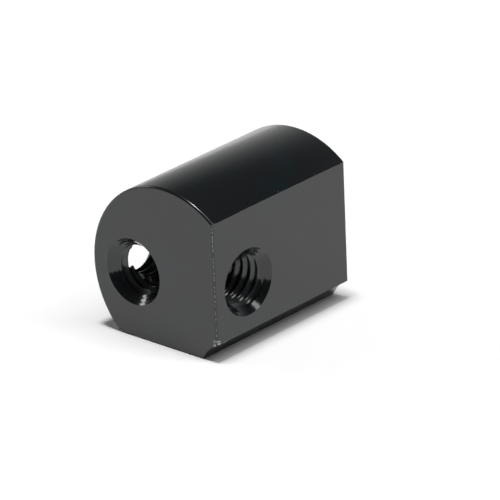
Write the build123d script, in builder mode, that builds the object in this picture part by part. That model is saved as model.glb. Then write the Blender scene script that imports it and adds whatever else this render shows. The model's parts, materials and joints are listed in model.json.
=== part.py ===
"""Machined mounting block: a short length of round bar with two flats and two crossing tapped holes.

All lengths are millimetres.  X points to the side flat, Y runs along the bar and Z is up.
The origin is at the middle of the base flat's plane: halfway along the bar, and halfway
between the round side and the side flat.
"""

import os

from build123d import *

# The round bar that the block is cut from
bar_diameter = 10.0
block_length = 10.0

# Milled flats, measured square to them from the bar's axis
side_flat_distance = 3.15
base_flat_distance = 3.6

# Hollow relief along the corner where the two flats would meet
relief_leg = 0.97
relief_cutter_diameter = 4.0

# Small bevel that breaks the edges of both end faces
end_edge_break = 0.08

# Holes for a standard M3 thread, bored to its tapping size and countersunk at every mouth
tapping_diameter = 2.5
countersink_diameter = 3.55
round_countersink_diameter = 3.7
countersink_angle = 90
hole_height = 3.55
end_hole_offset = 2.3
cross_hole_setback = 2.5

# Where the bar's axis and the flats lie in the block's frame
bar_radius = bar_diameter / 2
block_width = bar_radius + side_flat_distance
side_flat_x = block_width / 2
axis_x = side_flat_x - side_flat_distance
axis_z = base_flat_distance
front_y = -block_length / 2


def relief_centre_distance(leg, radius):
    """Distance of the relief cutter's centre past each flat, so that it takes off `leg` from both."""
    return ((2 * radius**2 - leg**2) ** 0.5 - leg) / 2


with BuildPart() as mounting_block:
    # Section across the bar: a disc, cut back to the side flat and the base flat
    with BuildSketch(Plane.XZ) as section:
        with Locations((axis_x, axis_z)):
            Circle(bar_radius)
        with Locations((side_flat_x, 0)):
            Rectangle(
                2 * bar_diameter,
                2 * bar_diameter,
                align=(Align.MAX, Align.MIN),
                mode=Mode.INTERSECT,
            )
        # The hollow relief takes the sharp corner off, along the whole block
        relief_reach = relief_centre_distance(relief_leg, relief_cutter_diameter / 2)
        with Locations((side_flat_x + relief_reach, -relief_reach)):
            Circle(relief_cutter_diameter / 2, mode=Mode.SUBTRACT)
    extrude(amount=block_length / 2, both=True)

    # Broken edges around both end faces
    end_faces = mounting_block.faces().filter_by(Axis.Y)
    chamfer(end_faces.edges(), length=end_edge_break)

    # Tapped hole along the bar, through both end faces
    end_hole_x = axis_x - end_hole_offset
    front_mouth = Plane(origin=(end_hole_x, front_y, hole_height), z_dir=(0, -1, 0))
    rear_mouth = Plane(origin=(end_hole_x, -front_y, hole_height), z_dir=(0, 1, 0))
    with Locations(front_mouth, rear_mouth):
        CounterSinkHole(
            radius=tapping_diameter / 2,
            counter_sink_radius=countersink_diameter / 2,
            depth=block_length / 2,
            counter_sink_angle=countersink_angle,
        )

    # Tapped hole across the bar, in at the side flat and out through the round side
    cross_hole_y = front_y + cross_hole_setback
    side_mouth = Plane(origin=(side_flat_x, cross_hole_y, hole_height), z_dir=(1, 0, 0))
    round_mouth = Plane(origin=(-side_flat_x, cross_hole_y, hole_height), z_dir=(-1, 0, 0))
    for mouth, mouth_diameter in (
        (side_mouth, countersink_diameter),
        (round_mouth, round_countersink_diameter),
    ):
        with Locations(mouth):
            CounterSinkHole(
                radius=tapping_diameter / 2,
                counter_sink_radius=mouth_diameter / 2,
                depth=block_width / 2,
                counter_sink_angle=countersink_angle,
            )

mounting_block.part.label = "mounting_block"

os.makedirs("parts", exist_ok=True)
export_step(mounting_block.part, "parts/mounting_block.step")
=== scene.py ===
"""Looks for the machined mounting block: the anodised bar with its flats, relief and threaded holes.

Sizes in the property groups are millimetres, as on a workshop drawing.  Every mesh is shaped
in millimetres and ends in metres, in the part's own frame: X out of the side flat, Y along
the bar and Z up, with the base flat on the floor.
"""

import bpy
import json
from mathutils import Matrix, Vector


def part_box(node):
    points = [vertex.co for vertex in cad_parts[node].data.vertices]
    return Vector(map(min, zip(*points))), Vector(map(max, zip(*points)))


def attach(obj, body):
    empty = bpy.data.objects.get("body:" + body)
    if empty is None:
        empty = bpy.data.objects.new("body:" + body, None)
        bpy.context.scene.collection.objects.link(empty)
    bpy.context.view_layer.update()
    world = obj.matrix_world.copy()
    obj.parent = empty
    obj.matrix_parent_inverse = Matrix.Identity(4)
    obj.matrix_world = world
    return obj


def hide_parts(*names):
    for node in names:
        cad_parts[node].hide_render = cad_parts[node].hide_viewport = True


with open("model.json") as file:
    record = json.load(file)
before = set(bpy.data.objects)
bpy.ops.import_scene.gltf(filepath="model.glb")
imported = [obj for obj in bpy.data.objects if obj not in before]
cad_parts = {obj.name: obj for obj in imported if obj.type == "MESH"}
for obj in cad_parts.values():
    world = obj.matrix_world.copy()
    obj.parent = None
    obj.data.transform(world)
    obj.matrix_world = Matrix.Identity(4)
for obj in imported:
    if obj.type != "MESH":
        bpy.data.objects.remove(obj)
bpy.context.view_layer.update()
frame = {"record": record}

import json
import math

import bmesh
import bpy
from mathutils import Matrix, Vector, noise

bl_info = {
    "name": "Machined Mounting Block",
    "version": (1, 0, 0),
    "blender": (4, 5, 0),
    "location": "3D View > Sidebar > Mounting Block",
    "description": "Builds the mounting block with cut threads, broken edges and anodised finish",
    "category": "Add Mesh",
}

NODE = "mounting_block"
MM = 0.001

# The waves along the side flat's upper edge: cells for each millimetre, a place in the noise, and
# how quickly the noise loses strength, how much finer each octave is, and how many there are
WAVE_SCALE = 1.3
WAVE_SEED = 4.2
WAVE_FALLOFF = 0.7
WAVE_RATIO = 2.0
WAVE_OCTAVES = 4

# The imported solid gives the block's own extents, in millimetres
LOW, HIGH = (Vector(corner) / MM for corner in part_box(NODE))
MOUNTS = {mount["name"]: mount for mount in frame["record"]["mounts"]}


def mount_place(name):
    """A mount's point on its axis, in millimetres."""
    return Vector(MOUNTS[name]["pos_m"]) / MM


def millimetres(name, default, description):
    """A length that a user can change, written in millimetres."""
    return bpy.props.FloatProperty(name=name, default=default, min=0.0, precision=3, description=description)


def degrees(name, default, description):
    """An angle that a user can change."""
    return bpy.props.FloatProperty(
        name=name, default=math.radians(default), subtype="ANGLE", description=description
    )


def amount(name, default, description):
    """A plain number that a user can change."""
    return bpy.props.FloatProperty(name=name, default=default, min=0.0, precision=3, description=description)


def count(name, default, description):
    """A whole number that a user can change."""
    return bpy.props.IntProperty(name=name, default=default, min=1, max=1024, description=description)


def colour(name, default, description):
    """A colour that a user can change."""
    return bpy.props.FloatVectorProperty(
        name=name, default=default, subtype="COLOR", size=3, min=0.0, max=1.0, description=description
    )


# ---------------------------------------------------------------------------
# Sizes and colours


class BlockSizes(bpy.types.PropertyGroup):
    """The bar and its flats."""

    bar_radius: millimetres("Bar radius", 5.0, "Radius of the round bar")
    relief_leg: millimetres("Relief leg", 0.97, "Width that the relief takes off each flat")
    relief_radius: millimetres("Relief radius", 2.0, "Radius of the cutter that makes the relief")
    end_break: millimetres("End edge break", 0.12, "Rounding around both end faces")
    knock: millimetres("Corner knock", 0.14, "Depth of the dent in the lower front corner")
    burr: millimetres("Burr", 0.05, "Waviness that the mill left along the side flat's upper edge")
    round_steps: count("Round steps", 256, "Facets around the full bar")
    relief_steps: count("Relief steps", 60, "Facets around the relief's cutter")
    length_steps: count("Length steps", 64, "Points along the waved edge")


class ThreadSizes(bpy.types.PropertyGroup):
    """The tapped holes."""

    pitch: millimetres("Pitch", 0.5, "Rise of the thread in one turn")
    major_radius: millimetres("Major radius", 1.5, "Radius at the bottom of the thread's groove")
    cone_radius: millimetres("Countersink radius", 1.775, "Radius of the countersinks in the flat faces")
    round_cone_radius: millimetres("Round countersink radius", 1.85, "Radius of the one in the round side")
    cone_angle: degrees("Countersink angle", 90, "Full angle of the countersinks")
    cross_start: degrees("Cross thread start", 280, "Turn of the cross hole's thread")
    end_start: degrees("End thread start", 205, "Turn of the end hole's thread")
    turn_steps: count("Turn steps", 64, "Facets in one turn of the thread")


class FinishSettings(bpy.types.PropertyGroup):
    """The anodised finish, its wear and painted light down in the bores."""

    film: colour("Anodised film", (0.0055, 0.0068, 0.0076), "Black anodising")
    cool_film: colour("Cool film", (0.004, 0.0095, 0.0115), "Blotches where the dye turned cooler")
    # Painted light: a paler colour that lifts the shade down in the tapped holes
    bore_painted_light: colour("Bore painted light", (0.05, 0.056, 0.06), "Painted light that lifts the shade down in the tapped holes")
    bare: colour("Bare metal", (0.72, 0.76, 0.76), "Aluminium where the film has worn off")
    gloss: amount("Roughness", 0.2, "Roughness of the satin film")
    index: amount("Index", 1.61, "Refractive index of the sealed film")
    wear_reach: millimetres("Wear reach", 0.07, "How far wear comes in from an edge")
    tool_step: millimetres("Tool step", 0.16, "Spacing of the tool marks in the countersinks")


class StageSettings(bpy.types.PropertyGroup):
    """Floor, light and camera."""

    azimuth: degrees("Azimuth", 42.3, "Camera's angle from the end face towards the side flat")
    elevation: degrees("Elevation", 23.4, "Camera's angle above the floor")
    roll: degrees("Roll", -2.4, "Camera's turn about its line of sight")
    distance: millimetres("Distance", 282.2, "From the camera to its aim")
    lens: bpy.props.FloatProperty(name="Lens", default=405.5, description="Focal length on a 36 mm sensor")
    aim: bpy.props.FloatVectorProperty(
        name="Aim", default=(1.517, 0.514, 3.552), description="Where the camera looks, in millimetres"
    )
    floor_radius: millimetres("Floor radius", 600.0, "Radius of the round floor")
    paper: colour("Floor", (0.92, 0.92, 0.92), "White card on the floor")
    card_lift: amount("Card lift", 0.18, "How much whiter the card looks than it lights")
    lamp_distance: millimetres("Lamp distance", 1500.0, "From the block to each lamp")


# ---------------------------------------------------------------------------
# Mesh helpers: shapes are made in millimetres


def new_piece(name, bm):
    """Turn a millimetre bmesh into an object in metres, standing at the origin."""
    bmesh.ops.recalc_face_normals(bm, faces=bm.faces)
    bmesh.ops.scale(bm, vec=(MM, MM, MM), verts=bm.verts)
    mesh = bpy.data.meshes.new(name)
    bm.to_mesh(mesh)
    bm.free()
    piece = bpy.data.objects.new(name, mesh)
    bpy.context.scene.collection.objects.link(piece)
    return piece


def carve(piece, tool):
    """Cut the tool's shape out of the piece for good, and throw the tool away."""
    cut = piece.modifiers.new("Cut", "BOOLEAN")
    cut.operation = "DIFFERENCE"
    cut.solver = "EXACT"
    cut.object = tool
    graph = bpy.context.evaluated_depsgraph_get()
    carved = bpy.data.meshes.new_from_object(piece.evaluated_get(graph))
    piece.modifiers.clear()
    blank = piece.data
    piece.data = carved
    bpy.data.meshes.remove(blank)
    bpy.data.objects.remove(tool, do_unlink=True)


def facing(direction):
    """Rotation that turns +Z to a direction."""
    return Vector(direction).to_track_quat("Z", "Y").to_matrix().to_4x4()


def edges_in(items):
    """The edges among what a bmesh operator returns."""
    return [item for item in items if isinstance(item, bmesh.types.BMEdge)]


def corners_in(items):
    """The vertices among what a bmesh operator returns."""
    return [item for item in items if isinstance(item, bmesh.types.BMVert)]


# ---------------------------------------------------------------------------
# The block


def bar_axis(sizes):
    """A point on the round bar's axis: it lies one radius in from the round side and the top."""
    return Vector((LOW.x + sizes.bar_radius, LOW.y, HIGH.z - sizes.bar_radius))


def relief_centre(sizes):
    """Axis of the relief's cutter, as far past the side flat as it is under the base flat."""
    reach = (math.sqrt(2 * sizes.relief_radius**2 - sizes.relief_leg**2) - sizes.relief_leg) / 2
    return Vector((HIGH.x + reach, 0, LOW.z - reach))


def bar_blank(sizes):
    """The round bar cut back to its two flats and hollowed at their corner."""
    bm = bmesh.new()
    place = Matrix.Translation(bar_axis(sizes)) @ facing((0, -1, 0))
    bmesh.ops.create_circle(
        bm, cap_ends=True, segments=sizes.round_steps, radius=sizes.bar_radius, matrix=place
    )
    for point, normal in ((HIGH, (1, 0, 0)), (LOW, (0, 0, -1))):
        geometry = bm.verts[:] + bm.edges[:] + bm.faces[:]
        bmesh.ops.bisect_plane(bm, geom=geometry, plane_co=point, plane_no=normal, clear_outer=True)
    grown = bmesh.ops.extrude_face_region(bm, geom=bm.faces[:])
    bmesh.ops.translate(bm, verts=corners_in(grown["geom"]), vec=(0, HIGH.y - LOW.y, 0))
    block = new_piece("block", bm)
    bm = bmesh.new()
    bmesh.ops.create_cone(
        bm,
        cap_ends=True,
        segments=sizes.relief_steps,
        radius1=sizes.relief_radius,
        radius2=sizes.relief_radius,
        depth=2 * (HIGH.y - LOW.y),
        matrix=Matrix.Translation(relief_centre(sizes)) @ facing((0, 1, 0)),
    )
    carve(block, new_piece("relief_tool", bm))
    return block


def finish_edges(block, sizes):
    """Round the end faces' rims, knock the lower front corner and wave the side flat's upper edge."""
    bm = bmesh.new()
    bm.from_mesh(block.data)
    bmesh.ops.scale(bm, vec=(1 / MM, 1 / MM, 1 / MM), verts=bm.verts)
    bmesh.ops.remove_doubles(bm, verts=bm.verts, dist=0.001)
    bmesh.ops.dissolve_limit(
        bm, angle_limit=math.radians(0.1), verts=bm.verts, edges=bm.edges, use_dissolve_boundaries=False
    )
    bm.normal_update()
    rims = [edge for edge in bm.edges if any(abs(face.normal.y) > 0.99 for face in edge.link_faces)]
    bmesh.ops.bevel(
        bm, geom=rims, offset=sizes.end_break, segments=5, profile=0.5, affect="EDGES", material=-1
    )
    away = Vector((1, -1, -0.45)).normalized()
    knock_place = Vector((HIGH.x, LOW.y, LOW.z + sizes.relief_leg)) - away * sizes.knock
    geometry = bm.verts[:] + bm.edges[:] + bm.faces[:]
    cut = bmesh.ops.bisect_plane(bm, geom=geometry, plane_co=knock_place, plane_no=away, clear_outer=True)
    bmesh.ops.edgeloop_fill(bm, edges=edges_in(cut["geom_cut"]))
    axis = bar_axis(sizes)
    edge_height = axis.z + math.sqrt(sizes.bar_radius**2 - (HIGH.x - axis.x) ** 2)

    def on_edge(vert):
        return abs(vert.co.x - HIGH.x) < 0.001 and abs(vert.co.z - edge_height) < 0.01

    long_edges = [edge for edge in bm.edges if all(on_edge(vert) for vert in edge.verts)]
    bmesh.ops.subdivide_edges(bm, edges=long_edges, cuts=sizes.length_steps - 1)
    for vert in bm.verts:
        if on_edge(vert) and abs(vert.co.y) < HIGH.y - sizes.end_break - 0.001:
            along = Vector((vert.co.y * WAVE_SCALE, WAVE_SEED, 0))
            wave = noise.fractal(along, WAVE_FALLOFF, WAVE_RATIO, WAVE_OCTAVES)
            nearness = abs(vert.co.y) / HIGH.y
            vert.co.z -= sizes.burr * (0.35 + nearness**3) * max(0, wave + 0.5)
    bmesh.ops.scale(bm, vec=(MM, MM, MM), verts=bm.verts)
    bm.to_mesh(block.data)
    bm.free()


def tap_tool(thread, place, direction, minor_radius, length, start):
    """A tap's shape: a closed rod with the thread's ridge, centred on a place along a direction."""
    crest = thread.pitch / 10
    root = thread.pitch / 8
    rise = (thread.pitch - crest - root) / 2
    steps = [
        (minor_radius, 0),
        (minor_radius, crest),
        (thread.major_radius, crest + rise),
        (thread.major_radius, crest + rise + root),
        (minor_radius, thread.pitch),
    ]
    turns = math.ceil(length / thread.pitch) + 2
    bm = bmesh.new()
    corners = [bm.verts.new((radius, 0, height)) for radius, height in steps]
    profile = corners + [bm.edges.new(pair) for pair in zip(corners, corners[1:])]
    bmesh.ops.spin(
        bm,
        geom=profile,
        cent=(0, 0, 0),
        axis=(0, 0, 1),
        dvec=(0, 0, thread.pitch / thread.turn_steps),
        angle=math.tau,
        steps=thread.turn_steps,
    )
    first_turn = bm.verts[:] + bm.edges[:] + bm.faces[:]
    for turn in range(1, turns):
        copied = bmesh.ops.duplicate(bm, geom=first_turn)
        bmesh.ops.translate(bm, verts=corners_in(copied["geom"]), vec=(0, 0, turn * thread.pitch))
    bmesh.ops.remove_doubles(bm, verts=bm.verts, dist=thread.pitch / 1000)
    middle = thread.pitch * (turns + 1) / 2
    for height, normal in ((middle - length / 2, (0, 0, -1)), (middle + length / 2, (0, 0, 1))):
        geometry = bm.verts[:] + bm.edges[:] + bm.faces[:]
        cut = bmesh.ops.bisect_plane(
            bm, geom=geometry, plane_co=(0, 0, height), plane_no=normal, clear_outer=True
        )
        bmesh.ops.edgeloop_fill(bm, edges=edges_in(cut["geom_cut"]))
    turn = Matrix.Translation(place) @ facing(direction) @ Matrix.Rotation(start, 4, "Z")
    bmesh.ops.transform(bm, matrix=turn @ Matrix.Translation((0, 0, -middle)), verts=bm.verts)
    return new_piece("tap_tool", bm)


def countersink_tool(thread, place, direction, radius):
    """A cone that opens a hole's mouth, placed at the mouth's middle and facing outwards."""
    slope = math.tan(thread.cone_angle / 2)
    depth = radius / slope
    proud = depth / 3
    middle = Matrix.Translation((0, 0, (proud - depth) / 2))
    bm = bmesh.new()
    bmesh.ops.create_cone(
        bm,
        cap_ends=True,
        segments=2 * thread.turn_steps,
        radius1=0,
        radius2=radius + proud * slope,
        depth=depth + proud,
        matrix=Matrix.Translation(Vector(place)) @ facing(direction) @ middle,
    )
    bmesh.ops.remove_doubles(bm, verts=bm.verts, dist=thread.pitch / 1000)
    return new_piece("countersink_tool", bm)


def mouths(thread):
    """Each hole mouth's middle, its outward direction and its countersink's radius."""
    cross = mount_place("cross_tapped_hole")
    end = mount_place("end_tapped_hole")
    return [
        ((HIGH.x, cross.y, cross.z), (1, 0, 0), thread.cone_radius),
        ((LOW.x, cross.y, cross.z), (-1, 0, 0), thread.round_cone_radius),
        ((end.x, LOW.y, end.z), (0, -1, 0), thread.cone_radius),
        ((end.x, HIGH.y, end.z), (0, 1, 0), thread.cone_radius),
    ]


def on_flat(face):
    """Whether a face is part of an end face, the side flat or the base flat."""
    middle = face.calc_center_median() / MM
    return min(HIGH.y - abs(middle.y), abs(HIGH.x - middle.x), abs(middle.z - LOW.z)) < 0.001


def smooth_shading(piece, crease):
    """Smooth the curved faces: flat faces and edges that turn by more than the crease stay crisp."""
    bm = bmesh.new()
    bm.from_mesh(piece.data)
    for face in bm.faces:
        face.smooth = not on_flat(face)
    for edge in bm.edges:
        edge.smooth = edge.calc_face_angle(0) < crease
    closed = bool(bm.faces) and all(edge.is_manifold for edge in bm.edges)
    bm.to_mesh(piece.data)
    bm.free()
    if not closed:
        raise RuntimeError(f"{piece.name} isn't a closed mesh")


class MOUNTING_BLOCK_OT_block(bpy.types.Operator):
    """Build the block with its flats, relief, countersinks and threads."""

    bl_idname = "mounting_block.block"
    bl_label = "Add Block"

    def execute(self, context):
        sizes = context.scene.block_sizes
        thread = context.scene.thread_sizes
        block = bar_blank(sizes)
        finish_edges(block, sizes)
        for place, outward, radius in mouths(thread):
            carve(block, countersink_tool(thread, place, outward, radius))
        length = 2 * (HIGH.y - LOW.y)
        for name, start in (("cross_tapped_hole", thread.cross_start), ("end_tapped_hole", thread.end_start)):
            mount = MOUNTS[name]
            outward = Vector(mount["axis"])
            minor_radius = mount["dims"]["r_mm"]
            carve(block, tap_tool(thread, mount_place(name), outward, minor_radius, length, start))
        smooth_shading(block, math.radians(20))
        block.data.materials.clear()
        block.data.materials.append(anodised_material(context.scene))
        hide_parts(NODE)
        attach(block, "root")
        return {"FINISHED"}


# ---------------------------------------------------------------------------
# Shader maths


def node(tree, kind, settings=None, inputs=None):
    """Add a node: its settings first, then the values or links of its sockets."""
    made = tree.nodes.new(kind)
    for name, value in (settings or {}).items():
        setattr(made, name, value)
    for name, value in (inputs or {}).items():
        socket = made.inputs[name]
        source = value.socket if isinstance(value, Number) else value
        if isinstance(source, bpy.types.NodeSocket):
            tree.links.new(source, socket)
        else:
            socket.default_value = source
    return made


class Number:
    """A number that varies over a surface: sums and products of it add their own nodes."""

    def __init__(self, tree, socket):
        self.tree = tree
        self.socket = socket

    def maths(self, operation, *values):
        made = node(self.tree, "ShaderNodeMath", {"operation": operation}, dict(enumerate(values)))
        return Number(self.tree, made.outputs[0])

    def __add__(self, other):
        return self.maths("ADD", self, other)

    def __sub__(self, other):
        return self.maths("SUBTRACT", self, other)

    def __rsub__(self, other):
        return self.maths("SUBTRACT", other, self)

    def __mul__(self, other):
        return self.maths("MULTIPLY", self, other)

    __radd__ = __add__
    __rmul__ = __mul__

    def size(self):
        return self.maths("ABSOLUTE", self)

    def sine(self):
        return self.maths("SINE", self)

    def low(self, *others):
        """The lowest of this number and others."""
        least = self
        for other in others:
            least = self.maths("MINIMUM", least, other)
        return least

    def high(self, other):
        """The higher of this number and another."""
        return self.maths("MAXIMUM", self, other)

    def fade(self, start, end):
        """0 up to the start, 1 from the end on, and smooth between: the start may be the higher."""
        ends = {"From Min": min(start, end), "From Max": max(start, end)}
        ends |= {"To Min": float(start > end), "To Max": float(start < end), "Value": self}
        made = node(self.tree, "ShaderNodeMapRange", {"interpolation_type": "SMOOTHSTEP"}, ends)
        return Number(self.tree, made.outputs["Result"])


def parts(tree, vector):
    """The three parts of a vector as numbers."""
    split = node(tree, "ShaderNodeSeparateXYZ", inputs={0: vector})
    return [Number(tree, socket) for socket in split.outputs]


def distance_across(tree, a, b, centre_a, centre_b):
    """Distance from an axis, in the plane square to it."""
    joined = node(tree, "ShaderNodeCombineXYZ", inputs={0: a - centre_a, 1: b - centre_b})
    length = node(tree, "ShaderNodeVectorMath", {"operation": "LENGTH"}, {0: joined.outputs[0]})
    return Number(tree, length.outputs["Value"])


def grain(tree, point, scale, detail=2.0):
    """Fine random grain with a scale in cells for each millimetre, from 0 to 1."""
    made = node(tree, "ShaderNodeTexNoise", inputs={"Vector": point, "Scale": scale, "Detail": detail})
    return Number(tree, made.outputs["Fac"])


def blend(tree, share, first, second):
    """Mix two colours, and give the mix's socket."""
    made = node(tree, "ShaderNodeMix", {"data_type": "RGBA"}, {"Factor": share})
    for name, value in (("A", first), ("B", second)):
        socket = [item for item in made.inputs if item.name == name and item.type == "RGBA"][0]
        if isinstance(value, bpy.types.NodeSocket):
            tree.links.new(value, socket)
        else:
            socket.default_value = (*value, 1)
    return [item for item in made.outputs if item.type == "RGBA"][0]


# ---------------------------------------------------------------------------
# Materials


def anodised_material(scene):
    """Satin black anodising with fine grain, tool rings in the cones, wear along the edges and painted light
    down in the bores.
    """
    sizes = scene.block_sizes
    thread = scene.thread_sizes
    finish = scene.finish_settings
    material = bpy.data.materials.new("anodised_aluminium")
    material.use_nodes = True
    tree = material.node_tree
    shader = tree.nodes["Principled BSDF"]
    place = node(tree, "ShaderNodeTexCoord").outputs["Object"]
    scaled = node(tree, "ShaderNodeVectorMath", {"operation": "SCALE"}, {"Vector": place, "Scale": 1 / MM})
    point = scaled.outputs["Vector"]
    x, y, z = parts(tree, point)

    # How deep a point lies under the block's faces: near an edge it is shallow under two of them
    axis = bar_axis(sizes)
    relief = relief_centre(sizes)
    side = HIGH.x - x
    round_side = sizes.bar_radius - distance_across(tree, x, z, axis.x, axis.z)
    hollow = distance_across(tree, x, z, relief.x, relief.z) - sizes.relief_radius
    end = HIGH.y - y.size()
    low_edge = side.high(hollow)
    front_edge = side.high(y - LOW.y)
    corner = Vector((HIGH.x, LOW.y, LOW.z + sizes.relief_leg))
    to_corner = node(tree, "ShaderNodeVectorMath", {"operation": "DISTANCE"}, {0: point, 1: corner})
    corner_distance = Number(tree, to_corner.outputs["Value"])

    # The film is rubbed through in specks along the front edge, at the knocked corner and just behind it
    specks = grain(tree, point, 5.0, 3.0)
    rub_end, rub_start = -3.2, -4.2
    rubbed = low_edge.fade(finish.wear_reach, 0) * specks.fade(0.58, 0.64) * y.fade(rub_end, rub_start)
    front_specks = grain(tree, point, 8.0, 2.0)
    chipped = front_edge.fade(finish.wear_reach, 0.3 * finish.wear_reach) * front_specks.fade(0.48, 0.6)
    near_corner = corner_distance.fade(2.4 * sizes.knock, 1.8 * sizes.knock)
    knocked = near_corner * front_specks.fade(0.46, 0.6)
    wear_strength = 0.5
    wear = rubbed.high(chipped).high(knocked) * wear_strength

    # Tool rings in each countersink, by the distance from the hole's axis.  Each pair of radii or
    # depths is where a mask starts and where it is full
    cross = mount_place("cross_tapped_hole")
    end_hole = mount_place("end_tapped_hole")
    from_cross = distance_across(tree, y, z, cross.y, cross.z)
    from_end = distance_across(tree, x, z, end_hole.x, end_hole.z)
    cross_mouth = from_cross.fade(1.86, 1.84)
    end_mouth = from_end.fade(1.8, 1.76)
    throat = (1.26, 1.3)
    under_face = (0.001, 0.01)
    in_cross = cross_mouth * from_cross.fade(*throat) * side.high(round_side).fade(*under_face)
    in_end = end_mouth * from_end.fade(*throat) * end.fade(*under_face)
    ring_waver = 3.0
    waver = grain(tree, point, 2.0) * ring_waver
    turns = math.tau / finish.tool_step
    rings = (from_cross * turns + waver).sine() * in_cross + (from_end * turns + waver).sine() * in_end

    # Pores: rare tiny bright dots in the film
    cells = node(tree, "ShaderNodeTexVoronoi", inputs={"Vector": point, "Scale": 2.2})
    cell_size = Number(tree, cells.outputs["Distance"])
    pick = parts(tree, cells.outputs["Color"])[0]
    pores = cell_size.fade(0.09, 0.05) * pick.fade(0.78, 0.8)

    fine = grain(tree, point, 14.0, 3.0)
    cloud = grain(tree, point, 0.35, 2.0)
    # Painted light: deep in the tapped holes the film turns to the paler bore colour, which lifts their
    # shade; the film colour below carries this painted light
    deep = side.low(round_side, end).fade(0.4, 0.6)
    bore_wall = (1.6, 1.55)
    painted_bore_light_mask = from_cross.fade(*bore_wall).high(from_end.fade(*bore_wall)) * deep
    outer_film = blend(tree, cloud.fade(0.45, 0.7), tuple(finish.film), tuple(finish.cool_film))
    film = blend(tree, painted_bore_light_mask, outer_film, tuple(finish.bore_painted_light))
    pore_strength = 0.06
    dotted = blend(tree, pores * pore_strength, film, tuple(finish.bare))
    tree.links.new(blend(tree, wear, dotted, tuple(finish.bare)), shader.inputs["Base Color"])
    tree.links.new(wear.socket, shader.inputs["Metallic"])
    grain_roughness, worn_roughness, pore_roughness, hole_polish = 0.08, 0.1, 0.15, 0.06
    holes = cross_mouth.high(end_mouth)
    roughness = finish.gloss + (fine - 0.5) * grain_roughness + wear * worn_roughness
    roughness = roughness + pores * pore_roughness - holes * hole_polish
    tree.links.new(roughness.socket, shader.inputs["Roughness"])
    grain_height, ring_height, wear_depth = 0.00025, 0.0016, 0.006
    height = fine * grain_height + rings * ring_height - wear * wear_depth
    bump = node(tree, "ShaderNodeBump", inputs={"Strength": 1.0, "Distance": MM, "Height": height})
    tree.links.new(bump.outputs["Normal"], shader.inputs["Normal"])
    shader.inputs["IOR"].default_value = finish.index
    return material


def floor_material(stage):
    """Matt white card with a faint tooth.

    The camera and reflections see it a little whiter than it lights the block.
    """
    paper = stage.paper
    material = bpy.data.materials.new("white_card")
    material.use_nodes = True
    tree = material.node_tree
    shader = tree.nodes["Principled BSDF"]
    place = node(tree, "ShaderNodeTexCoord").outputs["Object"]
    tooth = grain(tree, place, 900.0, 3.0)
    shade = tuple(channel * 0.985 for channel in paper)
    card = blend(tree, tooth.fade(0.3, 0.7), shade, tuple(paper))
    path = node(tree, "ShaderNodeLightPath").outputs
    seen = Number(tree, path["Is Camera Ray"]) + path["Is Glossy Ray"] + path["Is Transmission Ray"]
    lift = 1 + seen.low(1) * stage.card_lift
    lifted = node(tree, "ShaderNodeVectorMath", {"operation": "SCALE"}, {"Vector": card, "Scale": lift})
    tree.links.new(lifted.outputs["Vector"], shader.inputs["Base Color"])
    bump = node(tree, "ShaderNodeBump", inputs={"Strength": 0.2, "Distance": 0.02 * MM, "Height": tooth})
    tree.links.new(bump.outputs["Normal"], shader.inputs["Normal"])
    shader.inputs["Roughness"].default_value = 0.95
    shader.inputs["Specular IOR Level"].default_value = 0.0
    return material


# ---------------------------------------------------------------------------
# Stage


def add_floor(stage):
    """Flat white floor under the base flat."""
    bm = bmesh.new()
    bmesh.ops.create_circle(bm, cap_ends=True, segments=96, radius=stage.floor_radius)
    floor = new_piece("floor", bm)
    floor.data.materials.append(floor_material(stage))


def toward(azimuth, elevation):
    """Unit vector at an angle from the front face's outward direction towards the side flat's."""
    flat = math.cos(elevation)
    return Vector((math.sin(azimuth) * flat, -math.cos(azimuth) * flat, math.sin(elevation)))


def add_world(stage):
    """A studio: pale sweep behind the block that darkens upwards, and a dim room before it."""
    world = bpy.data.worlds.new("studio")
    world.use_nodes = True
    tree = world.node_tree
    background = tree.nodes["Background"]
    direction = node(tree, "ShaderNodeTexCoord").outputs["Generated"]
    x, y, z = parts(tree, direction)
    back = toward(stage.azimuth + math.pi, 0)
    behind = (x * back.x + y * back.y).fade(-0.3, 0.3)
    sweep_level, sweep_least, room_level = 0.72, 0.07, 0.045
    sweep = (sweep_level - z).high(sweep_least)
    room = behind * sweep + (1 - behind) * room_level
    tree.links.new(room.socket, background.inputs["Strength"])
    background.inputs["Color"].default_value = (1, 1, 1, 1)
    bpy.context.scene.world = world


# Each lamp's name, azimuth, elevation, two widths as angles and brightness, where 1 is white
LAMPS = (
    ("long_softbox", 108, 64, 14, 52, 4.0),
    ("overhead_lamp", -25, 87, 9, 9, 78.0),
    ("front_lamp", -78, 28, 13, 13, 5.0),
)


def add_lamps(stage):
    """Soft lamps, each facing the block: the second width runs up from the horizon."""
    distance = stage.lamp_distance * MM
    for name, azimuth, elevation, across, along, brightness in LAMPS:
        away = toward(math.radians(azimuth), math.radians(elevation))
        lamp = bpy.data.lights.new(name, "AREA")
        lamp.shape = "RECTANGLE"
        lamp.size = 2 * distance * math.tan(math.radians(across) / 2)
        lamp.size_y = 2 * distance * math.tan(math.radians(along) / 2)
        lamp.energy = brightness * math.pi * lamp.size * lamp.size_y
        holder = bpy.data.objects.new(name, lamp)
        holder.matrix_world = Matrix.Translation(away * distance) @ facing(away)
        bpy.context.scene.collection.objects.link(holder)


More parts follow.
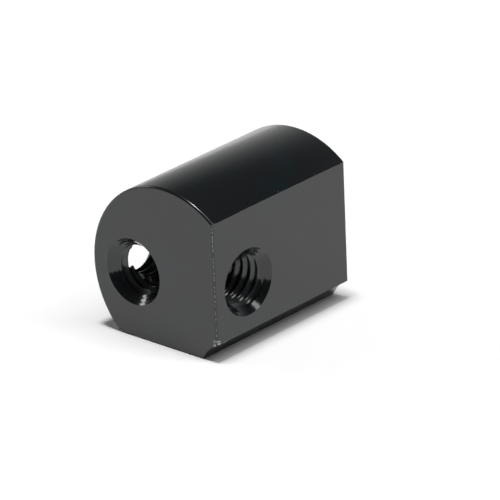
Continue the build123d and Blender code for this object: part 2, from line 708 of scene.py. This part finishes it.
def add_camera(stage):
    """Camera at its angles round the aim, rolled about its line of sight."""
    back = toward(stage.azimuth, stage.elevation)
    lens = bpy.data.cameras.new("camera")
    lens.lens = stage.lens
    lens.sensor_width = 36
    lens.clip_start = 0.01
    lens.clip_end = 10
    camera = bpy.data.objects.new("camera", lens)
    place = Matrix.Translation((Vector(stage.aim) + back * stage.distance) * MM)
    camera.matrix_world = place @ facing(back) @ Matrix.Rotation(stage.roll, 4, "Z")
    bpy.context.scene.collection.objects.link(camera)
    bpy.context.scene.camera = camera


class MOUNTING_BLOCK_OT_stage(bpy.types.Operator):
    """Set the floor, the light and the camera."""

    bl_idname = "mounting_block.stage"
    bl_label = "Set Stage"

    def execute(self, context):
        stage = context.scene.stage_settings
        add_floor(stage)
        add_world(stage)
        add_lamps(stage)
        add_camera(stage)
        context.scene.view_settings.view_transform = "Standard"
        return {"FINISHED"}


class MOUNTING_BLOCK_PT_panel(bpy.types.Panel):
    """Lists the block's sizes and colours, and the buttons that build the block and the stage."""

    bl_label = "Mounting Block"
    bl_idname = "MOUNTING_BLOCK_PT_panel"
    bl_space_type = "VIEW_3D"
    bl_region_type = "UI"
    bl_category = "Mounting Block"

    def draw(self, context):
        for group_name in GROUPS:
            group = getattr(context.scene, group_name)
            box = self.layout.box()
            for size in group.__annotations__:
                box.prop(group, size)
        for operator in OPERATORS:
            self.layout.operator(operator.bl_idname)


GROUPS = {
    "block_sizes": BlockSizes,
    "thread_sizes": ThreadSizes,
    "finish_settings": FinishSettings,
    "stage_settings": StageSettings,
}
OPERATORS = (MOUNTING_BLOCK_OT_block, MOUNTING_BLOCK_OT_stage)


def register():
    """Register the classes and hang the property groups on the scene."""
    for group_name, group in GROUPS.items():
        bpy.utils.register_class(group)
        setattr(bpy.types.Scene, group_name, bpy.props.PointerProperty(type=group))
    for operator in OPERATORS:
        bpy.utils.register_class(operator)
    bpy.utils.register_class(MOUNTING_BLOCK_PT_panel)


def unregister():
    """Take the classes and property groups away again."""
    bpy.utils.unregister_class(MOUNTING_BLOCK_PT_panel)
    for operator in reversed(OPERATORS):
        bpy.utils.unregister_class(operator)
    for group_name, group in GROUPS.items():
        delattr(bpy.types.Scene, group_name)
        bpy.utils.unregister_class(group)


def main():
    """Build everything in order."""
    register()
    bpy.ops.mounting_block.block()
    bpy.ops.mounting_block.stage()
    bpy.context.view_layer.update()


if __name__ == "__main__":
    main()
